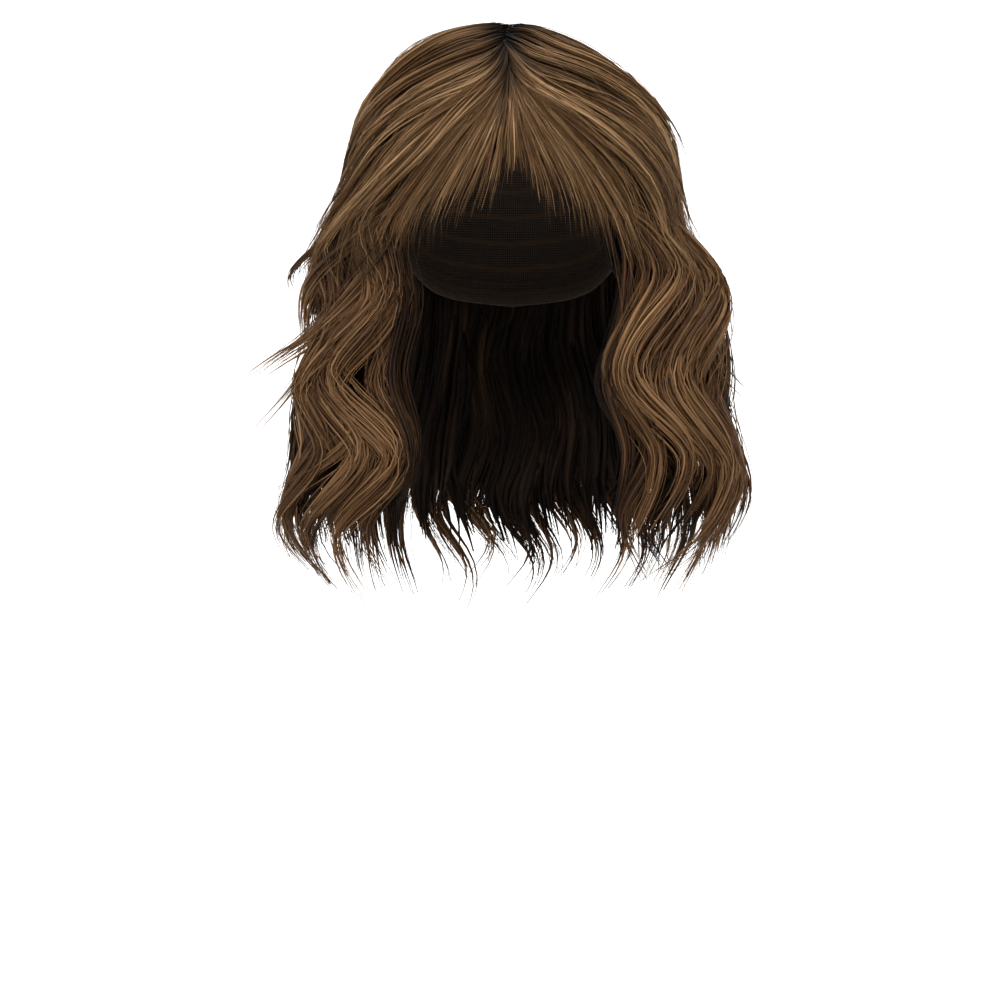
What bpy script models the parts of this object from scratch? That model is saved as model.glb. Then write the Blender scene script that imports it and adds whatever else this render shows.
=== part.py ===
"""Loosely waved, layered wig of shoulder length on a thin fabric cap, parted at the centre.

The origin is at the inside crown of the cap, where the top of a head touches it. +Z is up, the face opening
looks along -Y, and +X is the viewer's right. Everything is in metres.

A place in the hair has three coordinates. The azimuth is the compass direction round the head, 0 degrees at
the face and 180 at the nape. The second, called along, follows a hair down from its root: 0 at the top of the
head, 1 at the widest line of the cap, and from there it counts the drop, 2 at the lowest tips. The third is the
depth, measured outwards from the inner form: the cap's outside, and below it the hollow round the neck.
"""

import math
from collections import namedtuple

import bmesh
import bpy
from mathutils import Vector

# The cap, inside measures
HEAD_WIDTH = 0.154
HEAD_LENGTH = 0.194
CROWN_RISE = 0.100
CAP_WALL = 0.0015
FRONT_HEM_DROP = 0.048
EAR_HEM_DROP = 0.122
NAPE_HEM_DROP = 0.148
CAP_COLUMNS = 32
CAP_RINGS = 8

# The outer form of the hair, measured out from the cap
WIG_DROP = 0.356
TOP_LIFT = 0.037
SIDE_FULLNESS = 0.078
BROW_FULLNESS = 0.018
BACK_FULLNESS = 0.036
FRONT_SETBACK = 0.014

# The hollow below the cap
HOLLOW_FLARE = 0.026
HOLLOW_FRONT_INSET = 0.040
HOLLOW_BACK_INSET = 0.014

# The parting, from behind the brow to the whorl
PARTING_FRONT = 0.052
PARTING_BACK = 0.036
PARTING_DIP = 0.008
PARTING_GAP = 0.0012
WHORL_RADIUS = 0.003

# Locks and waves
GROOVE_DEPTH = 0.009
NOTCH_DEPTH = 0.022
EDGE_THICKNESS = 0.007
TIP_THICKNESS = 0.0045
WAVE_LENGTH = 0.105
SWAY = 0.003
RIPPLE = 0.005
FLICK = 0.014

# Clearances
SEAT_GAP = 0.0010
LAYER_GAP = 0.0020
SECTION_GAP_DEG = 0.80

# Directions where one section of hair ends and the next begins, in degrees
FRINGE_END = 42.0
SIDE_END = 104.0
NAPE = 180.0

# Where the sections that meet at a seam end there
CROWN_SEAM_TIP = 1.02
SIDE_SEAM_TIP = 1.80

HAIR_BROWN = (0.122, 0.067, 0.033, 1.0)
UNDER_BROWN = (0.078, 0.042, 0.022, 1.0)
CAP_BROWN = (0.035, 0.022, 0.014, 1.0)

Section = namedtuple("Section", "along side front back")
Share = namedtuple("Share", "along share")
Edge = namedtuple("Edge", "along azimuth")
Hem = namedtuple("Hem", "azimuth ear nape")
Column = namedtuple("Column", "crest notch")
Layer = namedtuple("Layer", "root body_end body_rows tip_rows covered")
Lock = namedtuple("Lock", "tip flick")

# Each lock has a groove, a crest and a shoulder: shares of the groove's height filled, and of the notch cut
COLUMNS = (
    Column(crest=0.00, notch=1.00),
    Column(crest=1.00, notch=0.00),
    Column(crest=0.82, notch=0.22),
)

# A layer's columns run together from root to body_end, then each to its own tip; a covered layer is underneath
FRINGE = Layer(root=0.00, body_end=0.62, body_rows=7, tip_rows=4, covered=False)
CROWN = Layer(root=0.00, body_end=0.84, body_rows=9, tip_rows=4, covered=False)
UNDER = Layer(root=0.72, body_end=1.52, body_rows=10, tip_rows=7, covered=True)

# Outer form, as shares of SIDE_FULLNESS, BROW_FULLNESS and BACK_FULLNESS
OUTER_FORM = (
    Section(along=0.00, side=0.06, front=0.00, back=0.06),
    Section(along=0.18, side=0.19, front=0.12, back=0.24),
    Section(along=0.36, side=0.34, front=0.28, back=0.46),
    Section(along=0.60, side=0.47, front=0.55, back=0.75),
    Section(along=0.80, side=0.51, front=0.85, back=0.92),
    Section(along=1.00, side=0.66, front=1.00, back=1.00),
    Section(along=1.12, side=0.80, front=0.95, back=1.00),
    Section(along=1.33, side=0.80, front=0.60, back=0.86),
    Section(along=1.45, side=0.89, front=0.40, back=0.70),
    Section(along=1.66, side=1.00, front=0.20, back=0.50),
    Section(along=1.82, side=0.92, front=0.10, back=0.35),
    Section(along=2.00, side=0.56, front=0.00, back=0.10),
)

# Inner form below the cap, as shares of HOLLOW_FLARE, HOLLOW_FRONT_INSET and HOLLOW_BACK_INSET
INNER_FORM = (
    Section(along=1.00, side=0.00, front=0.00, back=0.00),
    Section(along=1.25, side=0.05, front=0.45, back=0.10),
    Section(along=1.60, side=0.90, front=1.00, back=0.80),
    Section(along=1.80, side=0.80, front=1.10, back=1.00),
    Section(along=2.00, side=0.10, front=1.30, back=1.60),
)

# Share of the depth that the under layer takes
UNDER_LAYER = (
    Share(along=0.56, share=0.00),
    Share(along=0.70, share=0.18),
    Share(along=0.85, share=0.28),
    Share(along=1.00, share=0.46),
    Share(along=1.15, share=0.68),
    Share(along=1.35, share=0.84),
    Share(along=1.55, share=1.00),
)

FACE_EDGE = (
    Edge(along=0.60, azimuth=44.0),
    Edge(along=0.85, azimuth=40.0),
    Edge(along=1.00, azimuth=35.0),
    Edge(along=1.10, azimuth=30.5),
    Edge(along=1.45, azimuth=24.5),
    Edge(along=2.00, azimuth=23.0),
)

# Hem of the cap, as shares of the ear's and of the nape's drop below the front hem
CAP_HEM = (
    Hem(azimuth=0.0, ear=0.00, nape=0.00),
    Hem(azimuth=35.0, ear=0.16, nape=0.00),
    Hem(azimuth=62.0, ear=0.82, nape=0.00),
    Hem(azimuth=78.0, ear=1.00, nape=0.00),
    Hem(azimuth=105.0, ear=0.45, nape=0.38),
    Hem(azimuth=135.0, ear=0.10, nape=0.85),
    Hem(azimuth=180.0, ear=0.00, nape=1.00),
)

FRINGE_LOCKS = {
    "left": (
        Lock(tip=0.86, flick=0.0),
        Lock(tip=0.93, flick=0.1),
        Lock(tip=1.00, flick=0.2),
        Lock(tip=1.04, flick=0.2),
        Lock(tip=1.09, flick=0.1),
    ),
    "right": (
        Lock(tip=0.85, flick=0.0),
        Lock(tip=0.95, flick=0.1),
        Lock(tip=1.01, flick=0.2),
        Lock(tip=1.03, flick=0.1),
        Lock(tip=1.07, flick=0.2),
    ),
}

CROWN_LOCKS = {
    "left": (
        Lock(tip=1.14, flick=0.1),
        Lock(tip=1.24, flick=0.3),
        Lock(tip=1.16, flick=0.5),
        Lock(tip=1.34, flick=0.7),
        Lock(tip=1.20, flick=0.5),
        Lock(tip=1.30, flick=0.6),
        Lock(tip=1.18, flick=0.4),
        Lock(tip=1.32, flick=0.3),
        Lock(tip=1.22, flick=0.3),
        Lock(tip=1.31, flick=0.2),
    ),
    "right": (
        Lock(tip=1.12, flick=0.1),
        Lock(tip=1.22, flick=0.2),
        Lock(tip=1.26, flick=0.5),
        Lock(tip=1.18, flick=0.7),
        Lock(tip=1.33, flick=0.6),
        Lock(tip=1.21, flick=0.4),
        Lock(tip=1.29, flick=0.5),
        Lock(tip=1.19, flick=0.3),
        Lock(tip=1.33, flick=0.2),
        Lock(tip=1.24, flick=0.2),
    ),
}

SIDE_LOCKS = {
    "left": (
        Lock(tip=1.78, flick=0.0),
        Lock(tip=1.92, flick=0.0),
        Lock(tip=2.00, flick=0.1),
        Lock(tip=1.97, flick=0.2),
        Lock(tip=1.91, flick=0.4),
        Lock(tip=1.85, flick=0.6),
        Lock(tip=1.90, flick=0.5),
    ),
    "right": (
        Lock(tip=1.89, flick=0.0),
        Lock(tip=1.86, flick=0.1),
        Lock(tip=1.91, flick=0.1),
        Lock(tip=1.96, flick=0.3),
        Lock(tip=1.91, flick=0.4),
        Lock(tip=1.85, flick=0.6),
        Lock(tip=1.89, flick=0.5),
    ),
}

# The back's locks, from the left side locks round to the right
BACK_LOCKS = (
    Lock(tip=1.92, flick=0.4),
    Lock(tip=1.97, flick=0.3),
    Lock(tip=1.90, flick=0.5),
    Lock(tip=1.99, flick=0.2),
    Lock(tip=1.94, flick=0.4),
    Lock(tip=2.00, flick=0.2),
    Lock(tip=1.93, flick=0.3),
    Lock(tip=1.98, flick=0.4),
    Lock(tip=1.91, flick=0.3),
    Lock(tip=1.96, flick=0.3),
    Lock(tip=1.90, flick=0.5),
)

CAP_HALF_WIDTH = HEAD_WIDTH / 2 + CAP_WALL
CAP_HALF_LENGTH = HEAD_LENGTH / 2 + CAP_WALL
CAP_RISE = CROWN_RISE + CAP_WALL
HANG = WIG_DROP - CROWN_RISE


def smooth(low, high, value):
    """Rise from 0 at low to 1 at high without a corner."""
    t = min(1.0, max(0.0, (value - low) / (high - low)))
    return t * t * (3.0 - 2.0 * t)


def read(table, column, at):
    """Value of a column on a smooth curve through the table's rows; the first column is the place."""
    places = [row[0] for row in table]
    values = [getattr(row, column) for row in table]
    if at <= places[0]:
        return values[0]
    if at >= places[-1]:
        return values[-1]
    i = max(k for k, place in enumerate(places) if place <= at)

    def slope(k):
        low, high = max(k - 1, 0), min(k + 1, len(places) - 1)
        return (values[high] - values[low]) / (places[high] - places[low])

    span = places[i + 1] - places[i]
    t = (at - places[i]) / span
    ends = values[i] * (2 * t**3 - 3 * t**2 + 1) + values[i + 1] * (3 * t**2 - 2 * t**3)
    return ends + span * (slope(i) * (t**3 - 2 * t**2 + t) + slope(i + 1) * (t**3 - t**2))


def root_direction(azimuth, side):
    """Unit direction, from the middle of the head, of the root of the hair that falls at an azimuth.

    Roots lie along the parting, and those of the back fan out round the whorl.
    """
    angle = math.radians(azimuth)
    fan = WHORL_RADIUS * smooth(80.0, 125.0, azimuth)
    way_back = smooth(0.0, 120.0, azimuth)
    x = PARTING_GAP / 2 + fan * math.sin(angle)
    y = -PARTING_FRONT + (PARTING_FRONT + PARTING_BACK) * way_back - fan * math.cos(angle)
    x, y = side * x / CAP_HALF_WIDTH, y / CAP_HALF_LENGTH
    return Vector((x, y, math.sqrt(1.0 - x * x - y * y)))


def hair_direction(azimuth, along, side):
    """Unit direction of a point of a hair: it leaves the parting sideways and bends to fall straight."""
    angle = math.radians(azimuth)
    rim = Vector((side * math.sin(angle), -math.cos(angle), 0.0))
    over = rim + Vector((0.0, 0.0, 0.9))
    t = min(along, 1.0)
    root = root_direction(azimuth, side)
    return (root * (1 - t) ** 2 + over * 2 * t * (1 - t) + rim * t * t).normalized()


def wave(azimuth, along, side):
    """Sideways sway in degrees, and in-and-out ripple in metres, of the waved lengths."""
    angle = math.radians(azimuth)
    turn = 2 * math.pi * max(0.0, along - 1.0) * HANG / WAVE_LENGTH
    phase = 2.2 * angle + 1.1 * side * math.sin(angle)
    growth = smooth(0.95, 1.40, along)
    still_at_nape = smooth(0.0, 25.0, NAPE - azimuth)
    sway = SWAY / (CAP_HALF_WIDTH + SIDE_FULLNESS) * growth * still_at_nape * math.sin(turn + phase)
    ripple = RIPPLE * growth * math.cos(turn + phase)
    return math.degrees(sway), ripple


def form_along(direction, fall):
    """Place along the form: by the angle from straight up on the dome, by the fall below it."""
    if fall > 0.0:
        return 1.0 + fall / HANG
    return math.acos(max(0.0, min(1.0, direction.z))) / (math.pi / 2)


def inner_point(direction, fall):
    """Point of the inner form: the cap's outside, and the hollow below it."""
    along = form_along(direction, fall)
    half_width = CAP_HALF_WIDTH + HOLLOW_FLARE * read(INNER_FORM, "side", along)
    if direction.y < 0:
        reach = CAP_HALF_LENGTH - HOLLOW_FRONT_INSET * read(INNER_FORM, "front", along)
    else:
        reach = CAP_HALF_LENGTH - HOLLOW_BACK_INSET * read(INNER_FORM, "back", along)
    height = CAP_RISE * direction.z - CROWN_RISE - fall
    return Vector((half_width * direction.x, reach * direction.y, height))


def outer_point(direction, fall):
    """Point of the outer form of the hair."""
    along = form_along(direction, fall)
    half_width = CAP_HALF_WIDTH + SIDE_FULLNESS * read(OUTER_FORM, "side", along)
    if direction.y < 0:
        setback = FRONT_SETBACK * smooth(1.0, 1.5, along)
        reach = CAP_HALF_LENGTH + BROW_FULLNESS * read(OUTER_FORM, "front", along) - setback
    else:
        reach = CAP_HALF_LENGTH + BACK_FULLNESS * read(OUTER_FORM, "back", along)
    height = (CAP_RISE + TOP_LIFT) * direction.z - CROWN_RISE - fall
    return Vector((half_width * direction.x, reach * direction.y, height))


def depth_limits(layer, along, thickness, filled, down, free):
    """Depths of the back and of the face of a lock, where the hair is this thick.

    filled is the share of the groove that the column fills, down the share of the way to the tip, and free is
    1 at a free edge and 0 away from it.
    """
    under = read(UNDER_LAYER, "share", along)
    if layer.covered:
        back = SEAT_GAP
        face = under * thickness
    else:
        back = SEAT_GAP + under * thickness + LAYER_GAP * smooth(0.0, 0.1, under)
        face = thickness - PARTING_DIP * (1.0 - smooth(0.0, 0.22, along))
    groove = GROOVE_DEPTH * (1.0 - filled) * (1.0 - free) * smooth(0.0, 0.5, down)
    groove *= 1.0 - 0.8 * smooth(0.70, 0.95, down)
    face = max(face - min(groove, 0.35 * thickness), back + TIP_THICKNESS)
    back += (max(back, face - EDGE_THICKNESS) - back) * free
    back += (face - TIP_THICKNESS - back) * smooth(0.70, 1.0, down)
    return back, face


def lock_at(locks, column):
    """The lock that a column belongs to, and the column's kind; the last column is the last lock's groove."""
    index, step = divmod(column, len(COLUMNS))
    if index == len(locks):
        return locks[-1], COLUMNS[0]
    return locks[index], COLUMNS[step]


def column_tip(locks, column, first_tip, last_tip):
    """Where a column ends: at its lock's tip, or drawn up into the notch between two locks."""
    last = len(locks) * len(COLUMNS)
    if column == 0 and first_tip:
        return first_tip
    if column == last and last_tip:
        return last_tip
    lock, kind = lock_at(locks, column)
    tip = lock.tip
    if kind.notch == 1.0 and 0 < column < last:
        tip = min(tip, locks[column // len(COLUMNS) - 1].tip)
    return tip - NOTCH_DEPTH / HANG * kind.notch


def hair_section(name, locks, layer, course, first_tip, last_tip, colour):
    """One section of hair: wavy locks side by side, fused to the sheet that backs them.

    course(share, along) gives the azimuth and the side of a column. first_tip and last_tip are where the
    outer columns end at a seam; None there marks a free edge, which is thin.
    """
    columns = len(locks) * len(COLUMNS)
    rows = layer.body_rows + layer.tip_rows

    def back_and_face(column, row):
        lock, kind = lock_at(locks, column)
        share, down = column / columns, row / rows
        if row <= layer.body_rows:
            along = layer.root + (layer.body_end - layer.root) * row / layer.body_rows
        else:
            tip = column_tip(locks, column, first_tip, last_tip)
            along = layer.body_end + (tip - layer.body_end) * (row - layer.body_rows) / layer.tip_rows
        azimuth, side = course(share, along)
        sway, ripple = wave(azimuth, along, side)
        direction = hair_direction(azimuth + sway, along, side)
        fall = max(0.0, along - 1.0) * HANG
        inner, outer = inner_point(direction, fall), outer_point(direction, fall)
        outward = (outer - inner).normalized()
        thickness = (outer - inner).length + ripple
        free = 0.0 if first_tip else 1.0 - smooth(0.0, 0.18, share)
        back, face = depth_limits(layer, along, thickness, kind.crest, down, free)
        flick = FLICK * lock.flick * smooth(0.72, 1.0, down)
        return inner + outward * (back + flick), inner + outward * (face + flick)

    bm = bmesh.new()
    bmesh.ops.create_grid(bm, x_segments=columns, y_segments=rows, size=0.5)
    bmesh.ops.triangulate(bm, faces=bm.faces[:], quad_method="FIXED")
    backs = bm.verts[:]
    grown = bmesh.ops.extrude_face_region(bm, geom=bm.faces[:], use_keep_orig=True)["geom"]
    faces = [item for item in grown if isinstance(item, bmesh.types.BMVert)]
    for group, surface in ((backs, 0), (faces, 1)):
        for vertex in group:
            column = round((vertex.co.x + 0.5) * columns)
            row = round((vertex.co.y + 0.5) * rows)
            vertex.co = back_and_face(column, row)[surface]
    return add_piece(name, bm, colour)


def add_piece(name, bm, colour):
    """Make the bmesh an object with its own material."""
    bmesh.ops.recalc_face_normals(bm, faces=bm.faces[:])
    if bm.calc_volume(signed=True) < 0:
        bmesh.ops.reverse_faces(bm, faces=bm.faces[:])
    mesh = bpy.data.meshes.new(name)
    bm.to_mesh(mesh)
    bm.free()
    mesh.shade_smooth()
    mesh.set_sharp_from_angle(angle=math.radians(40))
    material = bpy.data.materials.new(name)
    material.use_nodes = True
    shader = material.node_tree.nodes["Principled BSDF"]
    shader.inputs["Base Color"].default_value = colour
    shader.inputs["Roughness"].default_value = 0.5
    shader.inputs["Metallic"].default_value = 0.0
    mesh.materials.append(material)
    piece = bpy.data.objects.new(name, mesh)
    bpy.context.scene.collection.objects.link(piece)
    return piece


def hem_angle(azimuth):
    """Angle from straight up at which the cap ends."""
    drop = FRONT_HEM_DROP
    drop += (EAR_HEM_DROP - FRONT_HEM_DROP) * read(CAP_HEM, "ear", azimuth)
    drop += (NAPE_HEM_DROP - FRONT_HEM_DROP) * read(CAP_HEM, "nape", azimuth)
    return math.acos((CROWN_RISE - drop) / CROWN_RISE)


def make_cap():
    """Thin dome that fits the head, cut round the brow, the ears and the nape."""
    bm = bmesh.new()
    hem = bmesh.ops.create_circle(bm, cap_ends=False, segments=CAP_COLUMNS, radius=1.0)["verts"]
    levels = {vertex: 0 for vertex in hem}
    ring = bm.edges[:]
    for level in range(1, CAP_RINGS):
        grown = bmesh.ops.extrude_edge_only(bm, edges=ring)["geom"]
        ring = [item for item in grown if isinstance(item, bmesh.types.BMEdge)]
        levels.update({item: level for item in grown if isinstance(item, bmesh.types.BMVert)})
    crown = bmesh.ops.contextual_create(bm, geom=ring)["faces"]
    top = bmesh.ops.poke(bm, faces=crown)["verts"]
    levels.update({vertex: CAP_RINGS for vertex in top})
    for vertex, level in levels.items():
        x, y = vertex.co.x, vertex.co.y
        polar = hem_angle(math.degrees(math.atan2(abs(x), -y))) * (1.0 - level / CAP_RINGS)
        vertex.co.x = HEAD_WIDTH / 2 * x * math.sin(polar)
        vertex.co.y = HEAD_LENGTH / 2 * y * math.sin(polar)
        vertex.co.z = CROWN_RISE * (math.cos(polar) - 1.0)
    cap = add_piece("cap", bm, CAP_BROWN)
    wall = cap.modifiers.new("wall", "SOLIDIFY")
    wall.thickness = CAP_WALL
    wall.offset = 1.0
    wall.use_even_offset = True


def make_half(word, side):
    """The sections of one side of the head."""
    half_gap = SECTION_GAP_DEG / 2

    def fringe_course(share, along):
        return half_gap + (FRINGE_END - 2 * half_gap) * share, side

    def crown_course(share, along):
        return FRINGE_END + half_gap + (NAPE - FRINGE_END - 2 * half_gap) * share, side

    def side_course(share, along):
        face_edge = read(FACE_EDGE, "azimuth", along)
        return face_edge + (SIDE_END - half_gap - face_edge) * share, side

    hair_section("fringe_" + word, FRINGE_LOCKS[word], FRINGE, fringe_course, None, CROWN_SEAM_TIP, HAIR_BROWN)
    hair_section(
        "crown_hair_" + word, CROWN_LOCKS[word], CROWN, crown_course, CROWN_SEAM_TIP, CROWN_SEAM_TIP, HAIR_BROWN
    )
    hair_section("side_locks_" + word, SIDE_LOCKS[word], UNDER, side_course, None, SIDE_SEAM_TIP, UNDER_BROWN)


def make_back():
    """The long hair round the back of the neck, from one side's locks to the other's."""

    def back_course(share, along):
        across = 2 * share - 1
        return NAPE - abs(across) * (NAPE - SIDE_END - SECTION_GAP_DEG / 2), math.copysign(1.0, across)

    hair_section("back_hair", BACK_LOCKS, UNDER, back_course, SIDE_SEAM_TIP, SIDE_SEAM_TIP, UNDER_BROWN)


def main():
    for piece in list(bpy.data.objects):
        bpy.data.objects.remove(piece)
    make_cap()
    for word, side in (("left", -1.0), ("right", 1.0)):
        make_half(word, side)
    make_back()


main()
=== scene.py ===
"""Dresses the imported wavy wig: thousands of hair strands in locks on a woven net cap, in a pale studio.

A place in the hair has three coordinates. The azimuth is the direction round the cap, in degrees, 0 in
front and 180 behind. The second, called along, runs down a hair: 0 at the parting, 1 at the widest line
of the cap, and 2 about at the lowest tips. The third, depth, is a share of the hair's thickness: 0 on
the cap or at the hollow below it, 1 at the outer form. A lift is added to it, in metres. A side is -1
on the viewer's left and 1 on the right.
"""

import math
from collections import namedtuple

import bmesh
import bpy
import numpy as np
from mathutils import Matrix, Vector


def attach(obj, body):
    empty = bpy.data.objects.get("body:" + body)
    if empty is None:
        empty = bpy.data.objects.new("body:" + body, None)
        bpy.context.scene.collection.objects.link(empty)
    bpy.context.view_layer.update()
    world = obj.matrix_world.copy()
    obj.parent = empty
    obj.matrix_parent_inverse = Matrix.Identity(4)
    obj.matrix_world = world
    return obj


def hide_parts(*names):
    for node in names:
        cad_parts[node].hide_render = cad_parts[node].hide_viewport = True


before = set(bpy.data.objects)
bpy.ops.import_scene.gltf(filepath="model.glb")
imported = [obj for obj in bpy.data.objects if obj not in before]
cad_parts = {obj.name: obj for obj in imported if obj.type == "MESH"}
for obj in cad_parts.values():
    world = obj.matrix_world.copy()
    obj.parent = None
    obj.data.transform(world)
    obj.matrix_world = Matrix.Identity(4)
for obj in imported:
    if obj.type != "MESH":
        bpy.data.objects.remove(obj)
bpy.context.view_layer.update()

MM = 0.001

# The hair's form, as the solids have it: the cap's outside, the outer form and the hollow below
HEAD_WIDTH = 0.154
HEAD_LENGTH = 0.194
CROWN_RISE = 0.100
CAP_WALL = 0.0015
CAP_HALF_WIDTH = HEAD_WIDTH / 2 + CAP_WALL
CAP_HALF_LENGTH = HEAD_LENGTH / 2 + CAP_WALL
CAP_RISE = CROWN_RISE + CAP_WALL
FRONT_HEM_DROP = 0.048
EAR_HEM_DROP = 0.122
NAPE_HEM_DROP = 0.148
TOP_LIFT = 0.037
SIDE_FULLNESS = 0.078
BROW_FULLNESS = 0.018
BACK_FULLNESS = 0.036
FRONT_SETBACK = 0.014
HOLLOW_FLARE = 0.026
HOLLOW_FRONT_INSET = 0.040
HOLLOW_BACK_INSET = 0.014
PARTING_FRONT = 0.052
PARTING_BACK = 0.036
HANG = 0.256

# The parting, aside of the middle in front, and how far over it the roots start, in front and on top
PARTING_ASIDE = -0.0046
ROOTS_ACROSS = 0.0012
TOP_ROOTS_ACROSS = 0.011

SIDE_NAMES = {-1.0: "left", 1.0: "right"}

# Sections of the outer form, as shares of its fullness at the sides, in front and behind, and of the inner
# form, as shares of the hollow's flare and insets
Section = namedtuple("Section", "along side front back")
OUTER_FORM = (
    Section(along=0.00, side=0.06, front=0.00, back=0.06),
    Section(along=0.18, side=0.19, front=0.12, back=0.24),
    Section(along=0.36, side=0.34, front=0.28, back=0.46),
    Section(along=0.60, side=0.47, front=0.55, back=0.75),
    Section(along=0.80, side=0.51, front=0.85, back=0.92),
    Section(along=1.00, side=0.66, front=1.00, back=1.00),
    Section(along=1.12, side=0.80, front=0.95, back=1.00),
    Section(along=1.33, side=0.80, front=0.60, back=0.86),
    Section(along=1.45, side=0.89, front=0.40, back=0.70),
    Section(along=1.66, side=1.00, front=0.20, back=0.50),
    Section(along=1.82, side=0.92, front=0.10, back=0.35),
    Section(along=2.00, side=0.56, front=0.00, back=0.10),
)
INNER_FORM = (
    Section(along=1.00, side=0.00, front=0.00, back=0.00),
    Section(along=1.25, side=0.05, front=0.45, back=0.10),
    Section(along=1.60, side=0.90, front=1.00, back=0.80),
    Section(along=1.80, side=0.80, front=1.10, back=1.00),
    Section(along=2.00, side=0.10, front=1.30, back=1.60),
)

# The cap's hem, as shares of its drop at the ear tabs and behind
Hem = namedtuple("Hem", "azimuth ear nape")
CAP_HEM = (
    Hem(azimuth=0.0, ear=0.00, nape=0.00),
    Hem(azimuth=35.0, ear=0.16, nape=0.00),
    Hem(azimuth=62.0, ear=0.82, nape=0.00),
    Hem(azimuth=78.0, ear=1.00, nape=0.00),
    Hem(azimuth=105.0, ear=0.45, nape=0.38),
    Hem(azimuth=135.0, ear=0.10, nape=0.85),
    Hem(azimuth=180.0, ear=0.00, nape=1.00),
)


def smooth(low, high, value):
    """Rise from 0 at low to 1 at high without a corner."""
    t = np.clip((value - low) / (high - low), 0.0, 1.0)
    return t * t * (3.0 - 2.0 * t)


def curve(places, values, at):
    """Values at some places, on a smooth curve through the given ones that stays level past its ends."""
    places, values = np.array(places), np.array(values)
    low = np.maximum(np.arange(len(places)) - 1, 0)
    high = np.minimum(np.arange(len(places)) + 1, len(places) - 1)
    slopes = (values[high] - values[low]) / (places[high] - places[low])
    at = np.clip(at, places[0], places[-1])
    i = np.clip(np.searchsorted(places, at, side="right") - 1, 0, len(places) - 2)
    span = places[i + 1] - places[i]
    t = (at - places[i]) / span
    ends = values[i] * (2 * t**3 - 3 * t**2 + 1) + values[i + 1] * (3 * t**2 - 2 * t**3)
    return ends + span * (slopes[i] * (t**3 - 2 * t**2 + t) + slopes[i + 1] * (t**3 - t**2))


def read(table, column, at):
    """Values of a column on the smooth curve through a table's rows; the first column is the place."""
    return curve([row[0] for row in table], [getattr(row, column) for row in table], at)


def unit(vectors):
    """The same vectors at length 1."""
    return vectors / np.maximum(np.linalg.norm(vectors, axis=-1, keepdims=True), 1e-9)


# Where a hair bends between its root and the rim: the hair of the sides and the back rises straight over
# its way down, and the front's hair first runs ahead and up, close together
BEND_OVER = (0.0, 0.0, 0.9)
BEND_AHEAD = (0.0, -0.74, 0.92)
BEND_SPREAD = 0.05


def hair_direction(azimuth, along, side):
    """Unit directions of points of hairs that leave the parting and fall at an azimuth.

    The front's hair fans out from the front end of the parting and sweeps down and aside; the hair of the
    sides and the back goes up over its root and then falls.
    """
    azimuth, along, side = np.broadcast_arrays(azimuth, along, side)
    angle = np.radians(azimuth)
    way_back = smooth(30.0, 125.0, azimuth)
    across = ROOTS_ACROSS + TOP_ROOTS_ACROSS * smooth(50.0, 95.0, azimuth)
    aside = side * PARTING_ASIDE * (1.0 - smooth(90.0, 150.0, azimuth))
    root_x = (aside - np.maximum(across * np.sin(angle), ROOTS_ACROSS)) / CAP_HALF_WIDTH
    set_back = -PARTING_FRONT + (PARTING_FRONT + PARTING_BACK) * way_back
    whorl = TOP_ROOTS_ACROSS * smooth(80.0, 125.0, azimuth) * np.cos(angle)
    root_y = (set_back + whorl) / CAP_HALF_LENGTH
    root = np.stack([root_x, root_y, np.sqrt(1.0 - root_x**2 - root_y**2)], axis=-1)
    rim = np.stack([np.sin(angle), -np.cos(angle), np.zeros_like(angle)], axis=-1)
    front = 1.0 - smooth(40.0, 95.0, azimuth)[..., None]
    over = rim + np.array(BEND_OVER)
    ahead = rim * BEND_SPREAD + np.array(BEND_AHEAD)
    bend = over + (ahead - over) * front
    t = np.minimum(along, 1.0)[..., None]
    path = unit(root * (1 - t) ** 2 + bend * 2 * t * (1 - t) + rim * t * t)
    return path * np.stack([side, np.ones_like(angle), np.ones_like(angle)], axis=-1)


def form_widths(along):
    """Half widths of the inner form and of the outer form."""
    inner = CAP_HALF_WIDTH + HOLLOW_FLARE * read(INNER_FORM, "side", along)
    outer = CAP_HALF_WIDTH + SIDE_FULLNESS * read(OUTER_FORM, "side", along)
    return inner, outer


def form_points(direction, fall):
    """Points of the inner form and of the outer form in a direction, this far below the rim."""
    across, back, up = np.moveaxis(direction, -1, 0)
    along = np.where(fall > 0, 1.0 + fall / HANG, np.arccos(np.clip(up, 0, 1)) / (math.pi / 2))
    ahead = back < 0
    inner_wide, outer_wide = form_widths(along)
    inner_front = CAP_HALF_LENGTH - HOLLOW_FRONT_INSET * read(INNER_FORM, "front", along)
    inner_back = CAP_HALF_LENGTH - HOLLOW_BACK_INSET * read(INNER_FORM, "back", along)
    outer_front = CAP_HALF_LENGTH + BROW_FULLNESS * read(OUTER_FORM, "front", along)
    outer_front = outer_front - FRONT_SETBACK * smooth(1.0, 1.5, along)
    outer_back = CAP_HALF_LENGTH + BACK_FULLNESS * read(OUTER_FORM, "back", along)
    low = -CROWN_RISE - fall

    def point(wide, reach, rise):
        return np.stack([wide * across, reach * back, rise * up + low], axis=-1)

    inner = point(inner_wide, np.where(ahead, inner_front, inner_back), CAP_RISE)
    outer = point(outer_wide, np.where(ahead, outer_front, outer_back), CAP_RISE + TOP_LIFT)
    return inner, outer


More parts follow.
